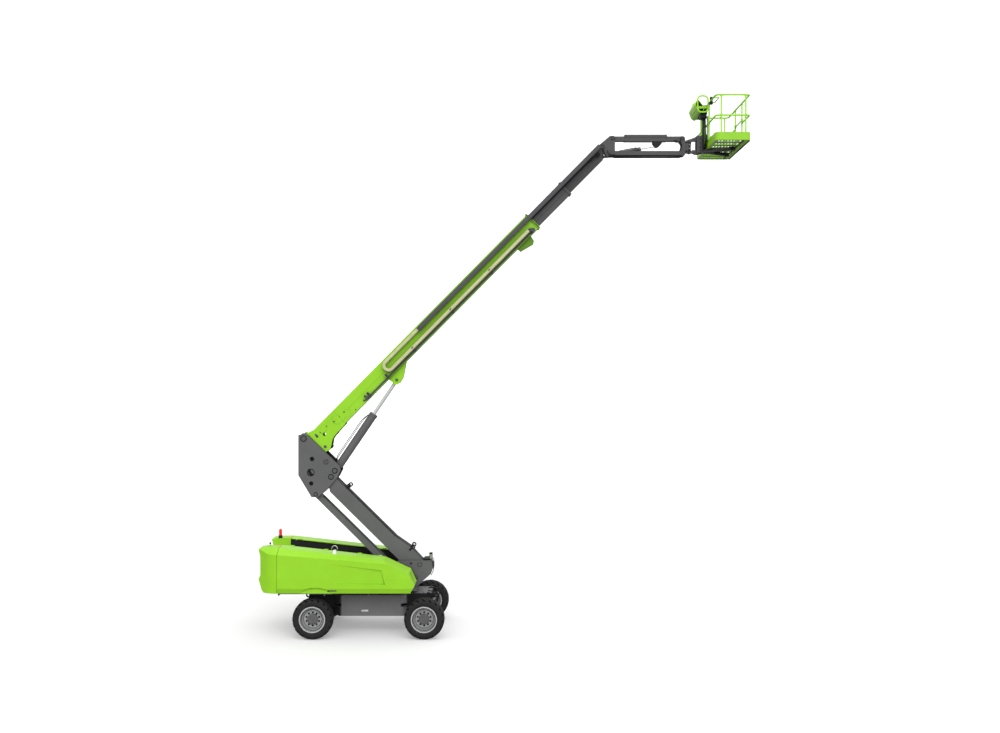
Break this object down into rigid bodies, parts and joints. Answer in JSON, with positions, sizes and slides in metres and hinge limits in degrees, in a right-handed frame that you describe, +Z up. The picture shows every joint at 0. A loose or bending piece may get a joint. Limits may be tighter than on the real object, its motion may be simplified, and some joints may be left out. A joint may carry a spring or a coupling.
{
  "type": "self-propelled telescopic boom lift with riser and jib",
  "caption": "Wheeled aerial work platform: slewing turntable with side covers, parallelogram riser, telescopic boom and level jib carrying a railed basket.",
  "frame": {"origin": "on the ground under the middle of the machine's whole length, on its centre plane", "axes": "+X from the counterweight towards the platform, +Z up, -Y the near side"},
  "size_m": [12.1766, 2.49, 13.6288],
  "materials": {
    "beacon_red": "clear red moulding",
    "black": "matte black paint",
    "cast_green": "gloss paint over casting",
    "chain_plastic": "cream moulded plastic",
    "chassis_grey": "satin dark grey paint",
    "chrome_rod": "hard chrome",
    "cover_plastic": "glossy painted moulding",
    "engine_grey": "painted casting",
    "floor_green": "gloss paint on aluminium",
    "green": "gloss paint",
    "grey": "satin dark grey paint",
    "panel_black": "matte black panel",
    "rim_grey": "silver-grey paint",
    "tank_black": "moulded tank",
    "tyre_rubber": "matte black rubber"
  },
  "bodies": {
    "chassis": {"chassis_frame": "chassis_grey", "drive_axle": "chassis_grey", "steer_axle": "chassis_grey", "slewing_ring": "chassis_grey"},
    "knuckle_near": {"steering_knuckle_near": "chassis_grey"},
    "knuckle_far": {"steering_knuckle_far": "chassis_grey"},
    "track_rod": {"track_rod": "chassis_grey"},
    "turntable": {"turntable_frame": "grey", "counterweight": "cast_green", "boom_foot": "grey", "engine_block": "engine_grey", "tank_block": "tank_black", "beacon": "beacon_red", "channel_panel_near": "panel_black", "channel_panel_far": "panel_black"},
    "cover_near": {"cover_near": "cover_plastic"},
    "cover_far": {"cover_far": "cover_plastic"},
    "riser": {"riser_arm": "grey"},
    "riser_tie": {"riser_tie": "grey"},
    "upright": {"upright": "grey"},
    "riser_cylinder_barrel": {"riser_cylinder_barrel": "grey"},
    "riser_cylinder_rod": {"riser_cylinder_rod": "chrome_rod"},
    "boom_base": {"boom_base": "green", "hose_tube": "black", "chain_lower": "chain_plastic"},
    "boom_mid": {"boom_mid": "grey", "chain_bend": "chain_plastic"},
    "boom_fly": {"boom_fly": "grey", "cable_tray": "black", "chain_upper": "chain_plastic"},
    "boom_cylinder_rod": {"boom_cylinder_rod": "chrome_rod"},
    "boom_cylinder_barrel": {"boom_cylinder_barrel": "grey"},
    "jib_link": {"jib_link": "grey"},
    "jib_arm": {"jib_arm": "grey"},
    "jib_tie": {"jib_tie": "grey"},
    "jib_head": {"jib_head": "grey"},
    "jib_cylinder_rod": {"jib_cylinder_rod": "chrome_rod"},
    "jib_cylinder_barrel": {"jib_cylinder_barrel": "grey"},
    "platform": {"platform_bracket": "grey", "platform_floor": "floor_green", "platform_rails": "green", "control_console": "cover_plastic", "console_guard": "black"},
    "entry_bar": {"entry_bar": "green"},
    "wheel_drive_near": {"rim_drive_near": "rim_grey", "tyre_drive_near": "tyre_rubber"},
    "wheel_drive_far": {"rim_drive_far": "rim_grey", "tyre_drive_far": "tyre_rubber"},
    "wheel_steer_near": {"rim_steer_near": "rim_grey", "tyre_steer_near": "tyre_rubber"},
    "wheel_steer_far": {"rim_steer_far": "rim_grey", "tyre_steer_far": "tyre_rubber"}
  },
  "joints": [
    {"name": "steer_near", "type": "hinge", "parent": "chassis", "child": "knuckle_near", "pos_m": [-4.7203, -0.822, 0.5], "axis": [0, 0, 1], "range_deg": [-35, 35]},
    {"name": "steer_far", "type": "hinge", "parent": "chassis", "child": "knuckle_far", "pos_m": [-4.7203, 0.822, 0.5], "axis": [0, 0, 1], "range_deg": [-35, 35]},
    {"name": "track_rod_slide", "type": "slide", "parent": "chassis", "child": "track_rod", "axis": [0, 1, 0], "range_m": [-0.13, 0.13]},
    {"name": "wheel_drive_near_spin", "type": "hinge", "parent": "chassis", "child": "wheel_drive_near", "pos_m": [-1.9703, -1.0675, 0.5], "axis": [0, 1, 0], "continuous": true},
    {"name": "wheel_drive_far_spin", "type": "hinge", "parent": "chassis", "child": "wheel_drive_far", "pos_m": [-1.9703, 1.0675, 0.5], "axis": [0, 1, 0], "continuous": true},
    {"name": "wheel_steer_near_spin", "type": "hinge", "parent": "knuckle_near", "child": "wheel_steer_near", "pos_m": [-4.7203, -1.0675, 0.5], "axis": [0, 1, 0], "continuous": true},
    {"name": "wheel_steer_far_spin", "type": "hinge", "parent": "knuckle_far", "child": "wheel_steer_far", "pos_m": [-4.7203, 1.0675, 0.5], "axis": [0, 1, 0], "continuous": true},
    {"name": "turntable_swing", "type": "hinge", "parent": "chassis", "child": "turntable", "pos_m": [-3.34531, 0, 1.04], "axis": [0, 0, 1], "continuous": true},
    {"name": "cover_near_hinge", "type": "hinge", "parent": "turntable", "child": "cover_near", "pos_m": [-4.3453, -0.514, 2.05803], "axis": [-0.9937, 0, 0.112], "range_deg": [0, 55]},
    {"name": "cover_far_hinge", "type": "hinge", "parent": "turntable", "child": "cover_far", "pos_m": [-4.3453, 0.514, 2.05803], "axis": [0.9937, 0, -0.112], "range_deg": [0, 55]},
    {"name": "riser_lift", "type": "hinge", "parent": "turntable", "child": "riser", "pos_m": [-2.1513, 0, 1.672], "axis": [0, 1, 0], "range_deg": [-42, 22]},
    {"name": "riser_tie_swing", "type": "hinge", "parent": "turntable", "child": "riser_tie", "pos_m": [-2.54331, 0, 1.227], "axis": [0, 1, 0], "range_deg": [-43, 23]},
    {"name": "upright_level", "type": "hinge", "parent": "riser", "child": "upright", "pos_m": [-4.41982, 0, 3.90906], "axis": [0, 1, 0], "range_deg": [-23, 43]},
    {"name": "riser_cylinder_swing", "type": "hinge", "parent": "turntable", "child": "riser_cylinder_barrel", "pos_m": [-2.2593, 0, 1.337], "axis": [0, 1, 0], "range_deg": [-39.64, 21.24]},
    {"name": "riser_cylinder_stroke", "type": "slide", "parent": "riser_cylinder_barrel", "child": "riser_cylinder_rod", "axis": [-0.6371, 0, 0.7708], "range_m": [-0.241, 0.131]},
    {"name": "boom_lift", "type": "hinge", "parent": "upright", "child": "boom_base", "pos_m": [-5.11882, 0, 4.88606], "axis": [0, -1, 0], "range_deg": [-45.3, 29.7]},
    {"name": "boom_cylinder_swing", "type": "hinge", "parent": "boom_base", "child": "boom_cylinder_rod", "pos_m": [-2.74935, 0, 6.38624], "axis": [0, -1, 0], "range_deg": [-3.72, 2.78]},
    {"name": "boom_cylinder_stroke", "type": "slide", "parent": "boom_cylinder_rod", "child": "boom_cylinder_barrel", "axis": [-0.5611, 0, -0.8277], "range_m": [-0.8739, 0.5798]},
    {"name": "mid_extend", "type": "slide", "parent": "boom_base", "child": "boom_mid", "axis": [0.7034, 0, 0.7108], "range_m": [-1.12, 1.35], "deforming": ["chain_lower"]},
    {"name": "fly_extend", "type": "slide", "parent": "boom_mid", "child": "boom_fly", "axis": [0.7034, 0, 0.7108], "range_m": [-1.12, 1.35], "deforming": ["chain_upper"]},
    {"name": "jib_link_level", "type": "hinge", "parent": "boom_fly", "child": "jib_link", "pos_m": [2.5213, 0, 12.36493], "axis": [0, -1, 0], "range_deg": [-30.7, 46.3]},
    {"name": "jib_lift", "type": "hinge", "parent": "jib_link", "child": "jib_arm", "pos_m": [2.7953, 0, 12.58593], "axis": [0, -1, 0], "range_deg": [-65, 70]},
    {"name": "jib_tie_swing", "type": "hinge", "parent": "jib_link", "child": "jib_tie", "pos_m": [2.7953, 0, 12.20093], "axis": [0, -1, 0], "range_deg": [-66, 71]},
    {"name": "jib_head_level", "type": "hinge", "parent": "jib_arm", "child": "jib_head", "pos_m": [4.5853, 0, 12.58593], "axis": [0, -1, 0], "range_deg": [-71, 66]},
    {"name": "jib_cylinder_swing", "type": "hinge", "parent": "jib_arm", "child": "jib_cylinder_rod", "pos_m": [3.9253, 0, 12.41093], "axis": [0, -1, 0], "range_deg": [-2.3, 2.4]},
    {"name": "jib_cylinder_stroke", "type": "slide", "parent": "jib_cylinder_rod", "child": "jib_cylinder_barrel", "axis": [-0.9832, 0, -0.1827], "range_m": [-0.3759, 0.4032]},
    {"name": "platform_rotate", "type": "hinge", "parent": "jib_head", "child": "platform", "pos_m": [4.74531, 0, 12.37593], "axis": [0, 0, 1], "range_deg": [-85, 85]},
    {"name": "entry_bar_slide", "type": "slide", "parent": "platform", "child": "entry_bar", "axis": [0, 0, 1], "range_m": [0, 0.36]}
  ],
  "couplings": [
    {"joint": "steer_far", "follows": "steer_near", "ratio": 1},
    {"joint": "track_rod_slide", "follows": "steer_near", "m_per_rad": 0.19249},
    {"joint": "riser_tie_swing", "follows": "riser_lift", "ratio": 1},
    {"joint": "upright_level", "follows": "riser_lift", "ratio": -1},
    {"joint": "riser_cylinder_swing", "follows": "riser_lift", "ratio": 0.92},
    {"joint": "riser_cylinder_stroke", "follows": "riser_lift", "m_per_rad": 0.31513},
    {"joint": "boom_cylinder_swing", "follows": "boom_lift", "ratio": 0.06},
    {"joint": "boom_cylinder_stroke", "follows": "boom_lift", "m_per_rad": 1.08},
    {"joint": "fly_extend", "follows": "mid_extend", "ratio": 1},
    {"joint": "jib_link_level", "follows": "boom_lift", "ratio": -1},
    {"joint": "jib_tie_swing", "follows": "jib_lift", "ratio": 1},
    {"joint": "jib_head_level", "follows": "jib_lift", "ratio": -1},
    {"joint": "jib_cylinder_swing", "follows": "jib_lift", "ratio": 0.02},
    {"joint": "jib_cylinder_stroke", "follows": "jib_lift", "m_per_rad": 0.31369}
  ]
}
